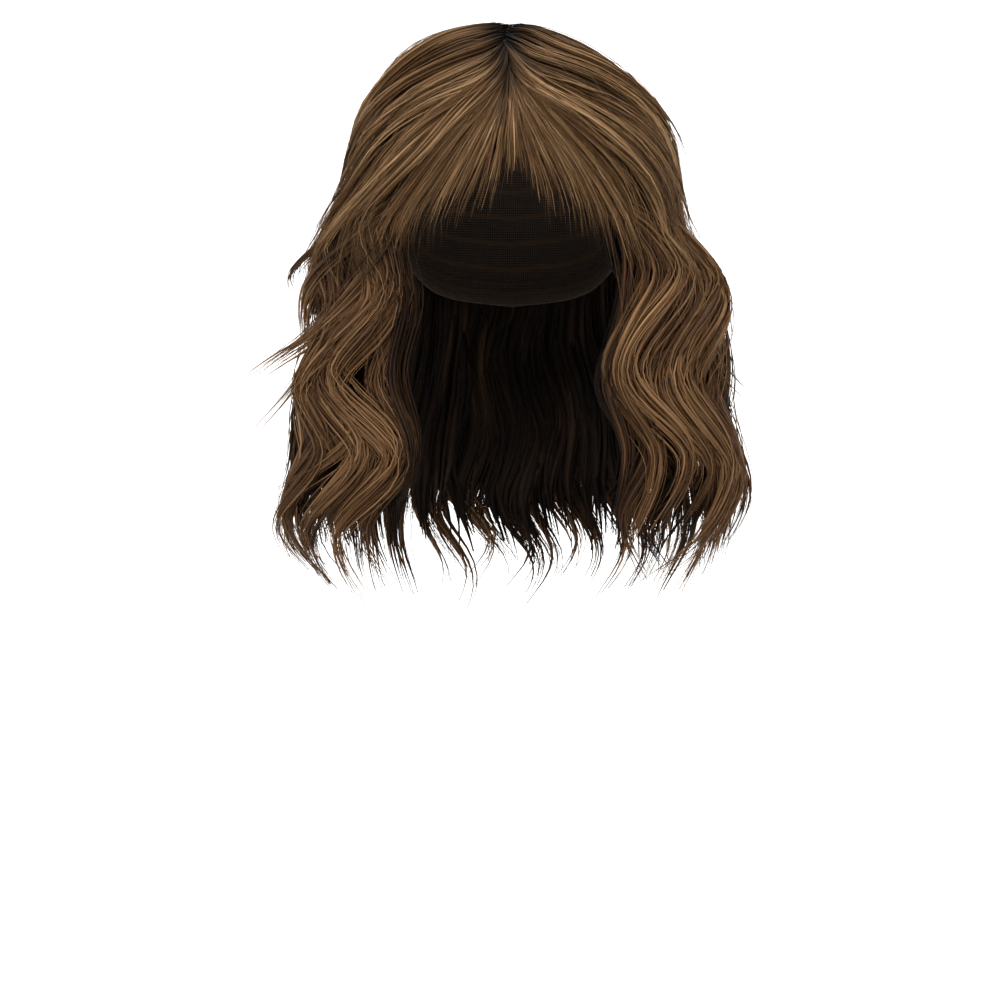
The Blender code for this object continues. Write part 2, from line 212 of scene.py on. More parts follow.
# How much further out than the solids the hair of the sides and the back stands, in mm
Fullness = namedtuple("Fullness", "along left right")
FULLNESS = (
    Fullness(along=0.00, left=-4.0, right=-4.0),
    Fullness(along=0.20, left=0.0, right=-3.0),
    Fullness(along=0.40, left=7.0, right=-1.0),
    Fullness(along=0.55, left=5.0, right=1.0),
    Fullness(along=0.75, left=-1.0, right=-2.0),
    Fullness(along=0.95, left=-9.0, right=-14.0),
    Fullness(along=1.12, left=-2.0, right=-9.0),
    Fullness(along=1.30, left=-2.0, right=2.0),
    Fullness(along=1.45, left=0.0, right=6.0),
    Fullness(along=1.60, left=0.0, right=-2.0),
    Fullness(along=2.00, left=0.0, right=0.0),
)

# No hair lies nearer than this to the cap or to the hollow below it
CAP_CLEARANCE = 0.003


def place(azimuth, along, side, depth, lift):
    """Points in the hair, and the outward directions there. depth is a share of the hair's thickness."""
    direction = hair_direction(azimuth, along, side)
    fall = np.broadcast_to(np.maximum(along - 1.0, 0.0) * HANG, direction.shape[:-1])
    inner, outer = form_points(direction, fall)
    outward = unit(outer - inner)
    extra = MM * read(FULLNESS, SIDE_NAMES[side], along) * smooth(20.0, 80.0, azimuth)
    thickness = np.linalg.norm(outer - inner, axis=-1) + extra
    return inner + outward * np.maximum(thickness * depth + lift, CAP_CLEARANCE)[..., None], outward


# A layer of locks in a section of the hair. Each lock has flat ribbons of hair with single strands over
# them. tip is a share of the section's own length, and root and depth are places in the hair. ragged is
# the share by which the hairs differ in length, and gather how far they close up at the tip. spread, the
# lock's half width, is in degrees. plump, its half depth, the widths of a ribbon and of a strand, and
# swing are in mm. curl is how much of the tips' flick the layer has, sweep how much of SWEEPS, and tone
# its place from dark to light.
Layer = namedtuple(
    "Layer",
    "locks ribbons strands root tip ragged gather depth spread plump ribbon strand swing curl sweep tone"
)
# The inner layers' tones are darker than the outer layers', as painted shade
LAYERS = {
    "fringe": (
        Layer(
            locks=12, ribbons=9, strands=2, root=0.00, tip=0.95, ragged=0.36, gather=0.2, depth=0.45,
            spread=3.6, plump=1.5, ribbon=2.6, strand=0.7, swing=2, curl=0.2, sweep=0.8, tone=0.30
        ),
        Layer(
            locks=17, ribbons=8, strands=16, root=0.00, tip=1.01, ragged=0.34, gather=0.2, depth=0.82,
            spread=3.3, plump=2.4, ribbon=2.0, strand=0.55, swing=3, curl=0.4, sweep=1.0, tone=0.56
        ),
    ),
    "crown": (
        Layer(
            locks=18, ribbons=8, strands=3, root=0.00, tip=0.95, ragged=0.20, gather=0.4, depth=0.62,
            spread=6.5, plump=3.0, ribbon=6.5, strand=0.9, swing=6, curl=0.5, sweep=1.0, tone=0.24
        ),
        Layer(
            locks=18, ribbons=10, strands=17, root=0.00, tip=1.00, ragged=0.26, gather=0.5, depth=0.90,
            spread=4.8, plump=4.0, ribbon=3.2, strand=0.7, swing=12, curl=1.0, sweep=1.0, tone=0.46
        ),
        Layer(
            locks=12, ribbons=9, strands=17, root=0.00, tip=0.80, ragged=0.30, gather=0.5, depth=1.00,
            spread=4.0, plump=3.0, ribbon=2.8, strand=0.6, swing=4, curl=0.7, sweep=1.3, tone=0.58
        ),
    ),
    "side": (
        Layer(
            locks=9, ribbons=7, strands=2, root=0.80, tip=0.93, ragged=0.12, gather=0.4, depth=0.14,
            spread=7.0, plump=4.0, ribbon=9.0, strand=1.0, swing=5, curl=0.3, sweep=0.0, tone=0.06
        ),
        Layer(
            locks=8, ribbons=10, strands=6, root=0.80, tip=0.94, ragged=0.16, gather=0.6, depth=0.50,
            spread=6.5, plump=7.0, ribbon=4.8, strand=0.9, swing=14, curl=0.7, sweep=0.0, tone=0.16
        ),
    ),
    "outer": (
        Layer(
            locks=7, ribbons=11, strands=18, root=0.74, tip=0.97, ragged=0.18, gather=0.6, depth=0.82,
            spread=5.0, plump=6.0, ribbon=3.6, strand=0.8, swing=10, curl=0.8, sweep=0.0, tone=0.42
        ),
    ),
    "back": (
        Layer(
            locks=14, ribbons=8, strands=2, root=0.80, tip=0.93, ragged=0.12, gather=0.4, depth=0.14,
            spread=6.0, plump=4.0, ribbon=8.0, strand=0.9, swing=6, curl=0.3, sweep=0.0, tone=0.18
        ),
        Layer(
            locks=13, ribbons=12, strands=18, root=0.76, tip=1.00, ragged=0.20, gather=0.6, depth=0.84,
            spread=5.0, plump=7.0, ribbon=3.8, strand=0.8, swing=10, curl=0.8, sweep=0.0, tone=0.46
        ),
    ),
}

# Where a section's hair ends, along the form, by azimuth
Length = namedtuple("Length", "azimuth fringe crown side back")
LENGTHS = (
    Length(azimuth=0.0, fringe=0.89, crown=1.10, side=1.84, back=1.94),
    Length(azimuth=4.0, fringe=0.93, crown=1.10, side=1.84, back=1.94),
    Length(azimuth=8.0, fringe=0.98, crown=1.10, side=1.84, back=1.94),
    Length(azimuth=14.0, fringe=1.03, crown=1.10, side=1.84, back=1.94),
    Length(azimuth=22.0, fringe=1.09, crown=1.12, side=1.92, back=1.94),
    Length(azimuth=42.0, fringe=1.18, crown=1.14, side=2.00, back=1.94),
    Length(azimuth=60.0, fringe=1.20, crown=1.20, side=2.02, back=1.94),
    Length(azimuth=80.0, fringe=1.20, crown=1.30, side=1.98, back=1.94),
    Length(azimuth=104.0, fringe=1.20, crown=1.36, side=1.96, back=1.96),
    Length(azimuth=180.0, fringe=1.20, crown=1.36, side=1.92, back=2.00),
)

# How far round the cap the hair turns between its root and the rim, by the azimuth at which it falls
Sweep = namedtuple("Sweep", "azimuth turn")
SWEEPS = (
    Sweep(azimuth=0.0, turn=0.0),
    Sweep(azimuth=8.0, turn=5.0),
    Sweep(azimuth=20.0, turn=14.0),
    Sweep(azimuth=43.0, turn=26.0),
    Sweep(azimuth=62.0, turn=34.0),
    Sweep(azimuth=85.0, turn=36.0),
    Sweep(azimuth=110.0, turn=24.0),
    Sweep(azimuth=140.0, turn=8.0),
    Sweep(azimuth=180.0, turn=0.0),
)

# The sections of the hair, between two azimuths. crowd above 1 sets locks closer together at the start,
# steps is the number of rings of a hair, length the column of LENGTHS, uneven how far the locks' lengths
# differ, and contrast how far their tones do.
Reach = namedtuple("Reach", "start end crowd steps length uneven contrast")
REACH = {
    "fringe": Reach(start=0.6, end=43.0, crowd=1.25, steps=16, length="fringe", uneven=0.4, contrast=0.10),
    "crown": Reach(start=40.0, end=179.4, crowd=1.0, steps=21, length="crown", uneven=1.0, contrast=0.22),
    "side": Reach(start=30.0, end=104.0, crowd=1.0, steps=26, length="side", uneven=1.0, contrast=0.22),
    "outer": Reach(start=66.0, end=106.0, crowd=1.0, steps=26, length="side", uneven=1.0, contrast=0.22),
    "back": Reach(start=102.0, end=187.0, crowd=1.0, steps=30, length="back", uneven=1.0, contrast=0.22),
}

# The pieces of hair on each side. node is the solid that a piece stands for, with {} for the side's
# name, and SEEDS start the random draws, the right side one number on.
Piece = namedtuple("Piece", "kind node finish")
PIECES = (
    Piece(kind="fringe", node="fringe_{}", finish="upper_hair"),
    Piece(kind="crown", node="crown_hair_{}", finish="upper_hair"),
    Piece(kind="side", node="side_locks_{}", finish="under_hair"),
    Piece(kind="back", node="back_hair", finish="under_hair"),
)
SEEDS = {"fringe": 3, "crown": 5, "side": 7, "back": 9}

# How far from the middle the hair of the sides ends, beside the front opening
Edge = namedtuple("Edge", "along reach")
FACE_EDGE = (
    Edge(along=0.60, reach=0.070),
    Edge(along=1.00, reach=0.074),
    Edge(along=1.10, reach=0.070),
    Edge(along=1.30, reach=0.064),
    Edge(along=1.50, reach=0.060),
    Edge(along=2.00, reach=0.060),
)

# The locks that show most from the front. Each swings between its turns: places along the hair, and how
# far from the middle the lock is there, as a share of LOCK_REACH. body is its share of a full lock's
# hairs.
LOCK_REACH = 0.145
Turn = namedtuple("Turn", "along reach")
Feature = namedtuple("Feature", "side tip depth spread body tone turns")
# Their tones differ from lock to lock, and the deeper locks' tones are darker, as painted shade
FEATURES = (
    Feature(side=-1, tip=1.18, depth=1.00, spread=2.5, body=0.6, tone=0.54, turns=(
        Turn(0.80, 0.52), Turn(1.11, 1.01), Turn(1.24, 0.93)
    )),
    Feature(side=-1, tip=1.32, depth=1.00, spread=3.5, body=1, tone=0.58, turns=(
        Turn(0.80, 0.50), Turn(0.95, 0.55), Turn(1.17, 0.92), Turn(1.32, 0.96)
    )),
    Feature(side=-1, tip=1.42, depth=1.00, spread=3.5, body=1, tone=0.68, turns=(
        Turn(0.85, 0.62), Turn(1.04, 0.52), Turn(1.20, 0.72), Turn(1.40, 1.21)
    )),
    Feature(side=-1, tip=1.45, depth=0.90, spread=4.5, body=1, tone=0.42, turns=(
        Turn(0.85, 0.88), Turn(1.02, 0.94), Turn(1.20, 0.76), Turn(1.43, 1.00)
    )),
    Feature(side=-1, tip=1.56, depth=0.98, spread=1.5, body=0.4, tone=0.50, turns=(
        Turn(1.02, 0.96), Turn(1.22, 0.82), Turn(1.40, 0.97), Turn(1.55, 1.21)
    )),
    Feature(side=-1, tip=1.62, depth=0.98, spread=4.5, body=1, tone=0.66, turns=(
        Turn(0.85, 0.50), Turn(1.00, 0.62), Turn(1.18, 0.52), Turn(1.42, 0.96), Turn(1.62, 0.80)
    )),
    Feature(side=-1, tip=1.72, depth=0.96, spread=4.5, body=1, tone=0.66, turns=(
        Turn(0.86, 0.48), Turn(1.04, 0.66), Turn(1.20, 0.54),
        Turn(1.40, 0.82), Turn(1.56, 0.74), Turn(1.72, 1.18)
    )),
    Feature(side=-1, tip=1.80, depth=0.92, spread=4.5, body=1, tone=0.46, turns=(
        Turn(1.00, 0.80), Turn(1.20, 0.62), Turn(1.40, 0.90), Turn(1.59, 0.66), Turn(1.80, 0.92)
    )),
    Feature(side=-1, tip=1.99, depth=1.00, spread=4.5, body=1, tone=0.66, turns=(
        Turn(0.84, 0.46), Turn(1.02, 0.70), Turn(1.20, 0.54), Turn(1.40, 0.80),
        Turn(1.60, 0.52), Turn(1.80, 0.80), Turn(2.02, 0.60)
    )),
    Feature(side=-1, tip=1.91, depth=0.96, spread=3.5, body=1, tone=0.54, turns=(
        Turn(0.95, 0.92), Turn(1.20, 0.78), Turn(1.40, 0.98),
        Turn(1.58, 0.86), Turn(1.77, 1.10), Turn(1.92, 0.92)
    )),
    Feature(side=-1, tip=1.88, depth=0.98, spread=4.0, body=1, tone=0.60, turns=(
        Turn(1.00, 0.74), Turn(1.20, 0.60), Turn(1.40, 0.88),
        Turn(1.59, 0.68), Turn(1.79, 0.96), Turn(1.92, 0.84)
    )),
    Feature(side=-1, tip=1.94, depth=0.86, spread=5.0, body=1, tone=0.34, turns=(
        Turn(1.02, 0.92), Turn(1.21, 0.74), Turn(1.41, 0.95),
        Turn(1.59, 0.74), Turn(1.80, 0.97), Turn(1.96, 0.80)
    )),
    Feature(side=-1, tip=1.94, depth=0.85, spread=4.5, body=1, tone=0.36, turns=(
        Turn(1.02, 0.66), Turn(1.20, 0.48), Turn(1.40, 0.64),
        Turn(1.58, 0.48), Turn(1.79, 0.70), Turn(1.98, 0.52)
    )),
    Feature(side=-1, tip=1.78, depth=0.88, spread=3.0, body=0.8, tone=0.16, turns=(
        Turn(1.02, 0.54), Turn(1.20, 0.44), Turn(1.40, 0.52), Turn(1.58, 0.44), Turn(1.78, 0.52)
    )),
    Feature(side=1, tip=1.36, depth=0.98, spread=3.5, body=1, tone=0.52, turns=(
        Turn(0.88, 0.72), Turn(1.02, 0.88), Turn(1.18, 0.96), Turn(1.36, 0.84)
    )),
    Feature(side=1, tip=1.52, depth=1.02, spread=3.5, body=1, tone=0.72, turns=(
        Turn(0.84, 0.34), Turn(1.10, 0.72), Turn(1.34, 0.50), Turn(1.54, 0.64)
    )),
    Feature(side=1, tip=1.46, depth=0.98, spread=1.2, body=0.3, tone=0.50, turns=(
        Turn(1.02, 0.84), Turn(1.18, 0.96), Turn(1.34, 0.94), Turn(1.47, 1.14)
    )),
    Feature(side=1, tip=1.68, depth=0.98, spread=3.5, body=1, tone=0.58, turns=(
        Turn(0.84, 0.90), Turn(1.00, 0.82), Turn(1.20, 0.98),
        Turn(1.40, 0.84), Turn(1.60, 1.05), Turn(1.72, 0.98)
    )),
    Feature(side=1, tip=1.70, depth=0.92, spread=4.5, body=1, tone=0.46, turns=(
        Turn(0.92, 0.60), Turn(1.16, 0.84), Turn(1.38, 0.62), Turn(1.60, 0.86), Turn(1.72, 0.78)
    )),
    Feature(side=1, tip=1.81, depth=0.98, spread=4.5, body=1, tone=0.66, turns=(
        Turn(0.90, 0.50), Turn(1.14, 0.72), Turn(1.38, 0.52), Turn(1.60, 0.80), Turn(1.82, 0.60)
    )),
    Feature(side=1, tip=1.79, depth=0.94, spread=4.5, body=1, tone=0.50, turns=(
        Turn(0.92, 0.66), Turn(1.16, 0.86), Turn(1.40, 0.68), Turn(1.62, 0.92), Turn(1.80, 0.76)
    )),
    Feature(side=1, tip=1.94, depth=1.00, spread=4.0, body=1, tone=0.66, turns=(
        Turn(0.95, 0.80), Turn(1.16, 0.94), Turn(1.38, 0.76),
        Turn(1.62, 1.00), Turn(1.82, 0.84), Turn(1.97, 0.44)
    )),
    Feature(side=1, tip=1.95, depth=0.96, spread=4.0, body=1, tone=0.58, turns=(
        Turn(0.95, 0.72), Turn(1.18, 0.90), Turn(1.40, 0.76),
        Turn(1.62, 1.02), Turn(1.80, 0.90), Turn(1.97, 0.72)
    )),
    Feature(side=1, tip=1.84, depth=0.94, spread=4.0, body=1, tone=0.56, turns=(
        Turn(0.95, 0.46), Turn(1.14, 0.62), Turn(1.36, 0.46), Turn(1.60, 0.66), Turn(1.86, 0.50)
    )),
    Feature(side=1, tip=1.94, depth=0.86, spread=5.0, body=1, tone=0.34, turns=(
        Turn(1.12, 0.90), Turn(1.38, 0.74), Turn(1.60, 0.96), Turn(1.78, 0.94), Turn(1.95, 0.80)
    )),
    Feature(side=1, tip=1.92, depth=0.85, spread=4.5, body=1, tone=0.36, turns=(
        Turn(1.14, 0.64), Turn(1.36, 0.50), Turn(1.58, 0.66), Turn(1.76, 0.52), Turn(1.94, 0.66)
    )),
    Feature(side=1, tip=1.78, depth=0.88, spread=3.0, body=0.8, tone=0.16, turns=(
        Turn(1.12, 0.54), Turn(1.36, 0.44), Turn(1.58, 0.52), Turn(1.78, 0.46)
    )),
)

# The fibres of a lock. outline is the section's corners, as shares of the half width, across and outwards.
# core keeps them out of the lock's middle, stray is how far single ones stand off, foot the root's share of
# the full width, mottle how far their tones differ, and columns how many lie side by side in the UV map.
Fibre = namedtuple("Fibre", "outline core stray foot mottle columns")
RIBBON = Fibre(
    outline=((1.0, 0.0), (0.0, 0.26), (-1.0, 0.0), (0.0, -0.16)),
    core=0.02, stray=0.1, foot=1.0, mottle=0.09, columns=100
)
STRAND = Fibre(
    outline=((0.0, 0.8), (-0.87, -0.4), (0.87, -0.4)),
    core=0.45, stray=0.9, foot=0.65, mottle=0.15, columns=180
)

# The length of a wave, and about how far the hair lies from the middle of the cap
WAVE = 0.098
HAIR_RADIUS = 0.115

# Where along the hair its waves swing furthest from the front, on each side, and in the middle of the
# back, where both sides swing the same way
OUTWARD_CREST = {-1.0: 1.40, 1.0: 1.22}
BACK_CREST = 1.31

# How the locks of a section differ: in their place, as a share of a lock's room, their length, the place
# and length of their waves, their depth, and how much of the tips' FLICK they take
PLACE_SHIFT = 0.25
LENGTH_SHIFTS = (-0.08, 0.02)
CREST_SHIFT = 0.03
WAVE_SHARES = (0.94, 1.06)
DEPTH_SHIFT = 0.05
FLICK_SHARES = (0.2, 1.0)
FLICK = 0.012

# How far the waves of single hairs are shifted along a lock, in a section and in a lock of FEATURES, and
# how much calmer than that lock its hairs can be
SECTION_LATE = 0.014
FEATURE_LATE = 0.013
CALMEST = 0.10

# The ribbons and strands of a full lock of FEATURES
FULL_RIBBONS = 16
FULL_STRANDS = 21

# The crown's layers that lie further out than a depth start at another one, as a ridge beside the parting
RIDGED_LAYERS = 0.8
RIDGE_DEPTH = 0.93

# A hair that leaves the parting starts at a share of its own depth and rises to it within a share of its
# length: the least and the most of both. A hair that starts below the upper layers begins nearer to the
# cap, and comes out between two places, this far along from its root.
LEAST_START = (0.40, 0.03)
MOST_START = (0.86, 0.10)
COVERED_START = 0.45
COVERED_RISE = (0.06, 0.38)

# How the hairs of a lock differ: where they start, how far they wind round its middle, how fast and how
# far they sway aside and out, how wide they are, how much thinner they end, and how far they roll over
STARTS = (-0.01, 0.02)
WINDS = (0.4, 1.2)
SWAY_PACES = (4.0, 10.0)
SWAY_ASIDE = 0.10
SWAY_OUT = 0.14
WIDTHS = (0.75, 1.2)
TIP_THINNING = 0.88
ROLL = 0.35
ROLL_ON = 0.5

# The edge of the hair beside the front opening: its waves, roughness and softness in degrees, and the
# largest sine of its azimuth
EDGE_WAVE = 2.5
EDGE_ROUGHNESS = 1.5
EDGE_SOFTNESS = 2.0
EDGE_SINE = 0.9

# Turning on by this share of a circle, or of a range, spreads any number of hairs or tones evenly
GOLDEN_SHARE = 0.618

# Painted highlights and shade drift in patches along a lock, and the tones of the locks of a layer run
# through the layer's range, beginning at another place in it on each side
PATCH_PAINTED_LIGHT = 0.10
PATCH_PACE = 13.0
PATCH_SHIFT = 40.0
FIRST_TONE = {-1.0: 0.75, 1.0: 0.3}

# Painted shade: of the roots and of the innermost hair, and how much is taken off by the painted dark
# stripe along the parting, beside the front opening, and by the painted shadow of the upper layers on the
# hair below them
ROOT_SHADE = 0.12
INNER_SHADE = 0.17
PARTING_SHADE = 0.88
PARTING_STRIPE = 0.013
FACE_SHADE = 0.55
FACE_SHADE_WIDE = (0.058, 0.078)
SHADOW = {-1.0: 0.72, 1.0: 0.20}
SHADOW_PLACE = 1.09
SHADOW_LONG = 0.07
SHADOW_LIFT = (0.004, 0.012)

# The sine of a front lock's azimuth, past which it levels off, and how much further it goes at most
LEVEL_SINE = 0.88
SINE_LEFT = 0.10

# Single fine hairs on each piece but the fringe
FLYAWAYS = 40
FLYAWAY_STEPS = 14
FLYAWAY_WIDTH = 0.00026
FLYAWAY_DEPTH = 0.94

# A tube's stripe in the UV map: its margins at the sides and at the ends, and the sides, the place and the
# height of the slivers in which its end faces lie, as shares of the stripe
STRIPE_SIDE = 0.08
STRIPE_END = 0.03
SLIVER_SIDE = 0.1
SLIVER_PLACE = 0.025
SLIVER_TALL = 0.02

# The cap: columns of faces round it, more corners than a shell of it has, the tape's wall, and the width of
# its ribs in degrees
CAP_COLUMNS = 112
MOST_CORNERS = 10000
TAPE_WALL = CAP_WALL + 0.0005
TAPE_RIB = 0.28

# The studio: the floor's outline from the side, the strength of the white surroundings, the lamps, and the
# camera, whose picture is PICTURE_WIDTH wide at CAMERA_DISTANCE
FLOOR_PROFILE = ((-3.0, -0.62), (1.6, -0.62), (2.2, -0.55), (2.6, -0.3), (2.8, 0.2), (2.8, 3.0))
FLOOR_HALF_WIDTH = 4.0
SURROUNDINGS = 0.85
Lamp = namedtuple("Lamp", "name spot aim size power")
LAMPS = (
    Lamp(name="key", spot=(-0.9, -2.0, 1.5), aim=(0.0, 0.0, -0.12), size=1.2, power=42.0),
    Lamp(name="fill", spot=(1.3, -2.0, 0.7), aim=(0.0, 0.0, -0.12), size=1.6, power=20.0),
    Lamp(name="top", spot=(0.0, 0.2, 1.9), aim=(0.0, 0.0, -0.12), size=1.4, power=22.0),
    Lamp(name="behind", spot=(0.0, 0.9, 2.2), aim=(0.0, 2.8, -0.1), size=2.5, power=60.0),
)
SENSOR_WIDTH = 36.0
CAMERA_DISTANCE = 2.5
PICTURE_WIDTH = 0.66
CAMERA_SPOT = (-0.008, -2.53, -0.282)

Lock = namedtuple("Lock", "steps ribbons strands root tip ragged gather spread plump ribbon strand tone")


def hair_shade(points, along, depth, lift, side, below):
    """Painted shade on the hair, from 0 to 1, 1 unshaded: dark at the roots, the parting, inside and beside
    the opening.

    Hair that starts below the upper layers also gets a painted shadow of them, unless it is lifted out of
    it.
    """
    root = ROOT_SHADE + (1.0 - ROOT_SHADE) * smooth(0.04, 0.42, along)
    off = (points[..., 0] - PARTING_ASIDE) / PARTING_STRIPE
    parting = 1.0 - PARTING_SHADE * np.exp(-(off**2)) * (1.0 - smooth(0.46, 0.78, along))
    painted_shade = root * parting * (INNER_SHADE + (1.0 - INNER_SHADE) * smooth(0.15, 0.95, depth))
    ahead = (points[..., 1] < 0.0) * smooth(0.96, 1.06, along)
    painted_shade = painted_shade * (1.0 - FACE_SHADE * ahead * (1.0 - smooth(*FACE_SHADE_WIDE, np.abs(points[..., 0]))))
    if below:
        covered = 1.0 - smooth(*SHADOW_LIFT, lift)
        shadow = np.exp(-(((along - SHADOW_PLACE) / SHADOW_LONG) ** 2))
        painted_shade = painted_shade * (1.0 - SHADOW[side] * covered * shadow)
    return painted_shade


def add_tubes(tubes, rng, fibre, side, course, width, roll, tone, below=False):
    """Add tubes of one kind. course holds their azimuth, place along the hair, depth share and lift."""
    azimuth, along, depth, lift = course
    points, outward = place(azimuth, along, side, depth, lift)
    # Painted shade, which the material multiplies into the hair's colour
    painted_shade = hair_shade(points, along, depth, lift, side, below)
    tone_painted_shade_random = np.stack(np.broadcast_arrays(tone, painted_shade, rng.uniform(0, 1, (len(points), 1))), axis=-1)
    tubes.append((fibre, points, outward, width, roll, tone_painted_shade_random))


def half_width(along, depth):
    """Half the hair's width at a depth share."""
    inner, outer = form_widths(along)
    return inner + (outer - inner) * np.minimum(depth, 1.0)


def face_edge(along, depth):
    """Azimuth at which the hair of the sides ends beside the front opening, at a depth share."""
    sine = read(FACE_EDGE, "reach", along) / half_width(along, depth)
    return np.degrees(np.arcsin(np.clip(sine, 0.0, EDGE_SINE)))


def step_aside(azimuth, along, turn):
    """Places of hairs moved aside by an angle, square to the way they run once they are past the crown."""
    azimuth, along = np.broadcast_arrays(azimuth, along)
    pitch = np.radians(np.gradient(azimuth, axis=1)) * HAIR_RADIUS / (np.gradient(along, axis=1) * HANG)
    lean = np.arctan(pitch) * smooth(0.90, 1.05, along)
    return azimuth + turn * np.cos(lean), along - np.radians(turn) * HAIR_RADIUS / HANG * np.sin(lean)


def fill_lock(tubes, rng, lock, side, guide, fibre, edged):
    """Add the ribbons or the strands of one lock, which bunches together towards its tip.

    guide(along, share) gives the lock's azimuth, depth share and lift there, where share is a share of a
    hair's own length. An edged lock keeps out of the front opening.
    """
    flat = fibre is RIBBON
    count = lock.ribbons if flat else lock.strands
    share = np.linspace(0.0, 1.0, lock.steps)[None, :] ** (0.75 if lock.root else 1.0)
    turn = 2 * math.pi * (np.arange(count)[:, None] * GOLDEN_SHARE + rng.uniform())
    far = np.sqrt(rng.uniform(fibre.core, 1.0, (count, 1)))
    length = 1.0 - lock.ragged * rng.beta(1.1, 1.8, (count, 1))
    along = lock.root + rng.uniform(*STARTS, (count, 1)) + (lock.tip - lock.root) * length * share
    twist = turn + rng.normal(0.0, 0.25, (count, 1)) + rng.uniform(*WINDS) * rng.choice([-1, 1]) * share
    bunch = (0.80 + 0.20 * smooth(0.0, 0.3, share)) * (1.0 - lock.gather * smooth(0.50, 1.0, share))
    far = far * bunch * (1.0 + fibre.stray * rng.uniform(0, 1, (count, 1)) ** 4)
    azimuth, depth, lift = guide(along, share)
    phase = rng.uniform(0, 2 * math.pi, (2, count, 1))
    pace = rng.uniform(*SWAY_PACES, (2, count, 1))
    sway = smooth(0.0, 0.5, share) * (0.5 + share) * np.sin(pace * share + phase)
    aside = np.cos(twist) * far + SWAY_ASIDE * sway[0]
    out = np.sin(twist) * far + SWAY_OUT * sway[1]
    azimuth, along = step_aside(azimuth, along, lock.spread * aside)
    if edged:
        edge = face_edge(along, depth) + rng.normal(0.0, EDGE_ROUGHNESS, (count, 1))
        edge = edge + EDGE_WAVE * np.cos((along - OUTWARD_CREST[side]) * 2 * math.pi * HANG / WAVE)
        azimuth = edge + EDGE_SOFTNESS * np.log1p(np.exp((azimuth - edge) / EDGE_SOFTNESS))
    taper = fibre.foot + (1.0 - fibre.foot) * smooth(0.0, 0.15, share)
    taper = taper * (1.0 - TIP_THINNING * smooth(0.76, 1.0, share))
    width = (lock.ribbon if flat else lock.strand) * MM * rng.uniform(*WIDTHS, (count, 1)) * taper
    roll = rng.normal(0.0, ROLL, (count, 1)) + rng.normal(0.0, ROLL_ON, (count, 1)) * share
    roll = roll + ROLL * np.cos(twist)
    # Painted highlights and shade, in patches along the lock
    painted_light_patch = PATCH_PAINTED_LIGHT * np.sin(PATCH_PACE * along + PATCH_SHIFT * lock.tone)
    tone = np.clip(lock.tone + rng.normal(0.0, fibre.mottle, (count, 1)) + painted_light_patch, 0.02, 0.98)
    if lock.root == 0.0:
        low, quick = rng.uniform(LEAST_START, MOST_START, (count, 2)).T[..., None]
        depth = depth * (low + (1.0 - low) * smooth(0.0, quick, share))
    else:
        rise = smooth(lock.root + COVERED_RISE[0], lock.root + COVERED_RISE[1], along)
        depth = depth * (COVERED_START + (1.0 - COVERED_START) * rise)
        lift = lift * rise
    course = (azimuth, along, depth, lift + lock.plump * MM * out)
    add_tubes(tubes, rng, fibre, side, course, width, roll, tone, below=lock.root > 0.0)


def add_lock(tubes, rng, lock, side, guide, edged):
    """Add a lock's ribbons, and then the strands over them."""
    fill_lock(tubes, rng, lock, side, guide, RIBBON, edged)
    fill_lock(tubes, rng, lock, side, guide, STRAND, edged)


def section_locks(tubes, rng, kind, side):
    """The layered locks of one section of hair."""
    reach = REACH[kind]
    for layer in LAYERS[kind]:
        ridged = kind == "crown" and layer.depth > RIDGED_LAYERS
        for k in range(layer.locks):
            across = (k + 0.5 + rng.uniform(-PLACE_SHIFT, PLACE_SHIFT)) / layer.locks
            middle = reach.start + (reach.end - reach.start) * across**reach.crowd
            tip = layer.tip * read(LENGTHS, reach.length, middle)
            tip = tip + rng.uniform(*LENGTH_SHIFTS) * reach.uneven
            same = smooth(130.0, 175.0, middle)
            crest = OUTWARD_CREST[side] * (1.0 - same) + BACK_CREST * same + CREST_SHIFT * rng.normal()
            lean = rng.uniform(-1, 1)
            wave = 2 * math.pi * HANG / (WAVE * rng.uniform(*WAVE_SHARES))
            flick = FLICK * layer.curl * rng.uniform(*FLICK_SHARES)
            depth_here = layer.depth + rng.uniform(-DEPTH_SHIFT, DEPTH_SHIFT)
            turn = layer.sweep * read(SWEEPS, "turn", middle)
            # Where the form turns away, the swing is wider, so that it shows as much from the front
            widen = 1.0 / max(math.cos(math.radians(middle)), 0.6) - 1.0
            aside = layer.swing * MM / HAIR_RADIUS * (1.0 + widen * (1.0 - smooth(60.0, 90.0, middle)))

            def guide(along, share):
                late = rng.normal(0.0, SECTION_LATE, (len(along), 1))
                swing = smooth(0.70, 1.20, along) * np.cos((along - crest + late) * wave)
                azimuth = middle - turn * (1.0 - smooth(0.34, 0.98, along)) + 2.0 * lean * share
                azimuth = azimuth + np.degrees(aside) * swing * (1.0 - same + same * side)
                if kind == "side":
                    start = face_edge(along, depth_here) + layer.spread * 0.6
                    way_left = (reach.end - middle) / (reach.end - reach.start)
                    azimuth = azimuth + (start - reach.start) * way_left
                ridge = ridged * (1.0 - smooth(0.02, 0.25, share))
                depth = depth_here + (RIDGE_DEPTH - depth_here) * ridge + np.zeros_like(along)
                lift = layer.swing * MM * 0.55 * swing * smooth(50.0, 90.0, middle)
                return azimuth, depth, lift + flick * smooth(0.7, 1.0, share)

            spot = (k * GOLDEN_SHARE + FIRST_TONE[side]) % 1.0
            tone = layer.tone + reach.contrast * (2.0 * spot - 1.0)
            lock = Lock(
                steps=reach.steps, ribbons=layer.ribbons, strands=layer.strands, root=layer.root, tip=tip,
                ragged=layer.ragged, gather=layer.gather, spread=layer.spread, plump=layer.plump,
                ribbon=layer.ribbon, strand=layer.strand, tone=tone
            )
            add_lock(tubes, rng, lock, side, guide, edged=kind == "side")


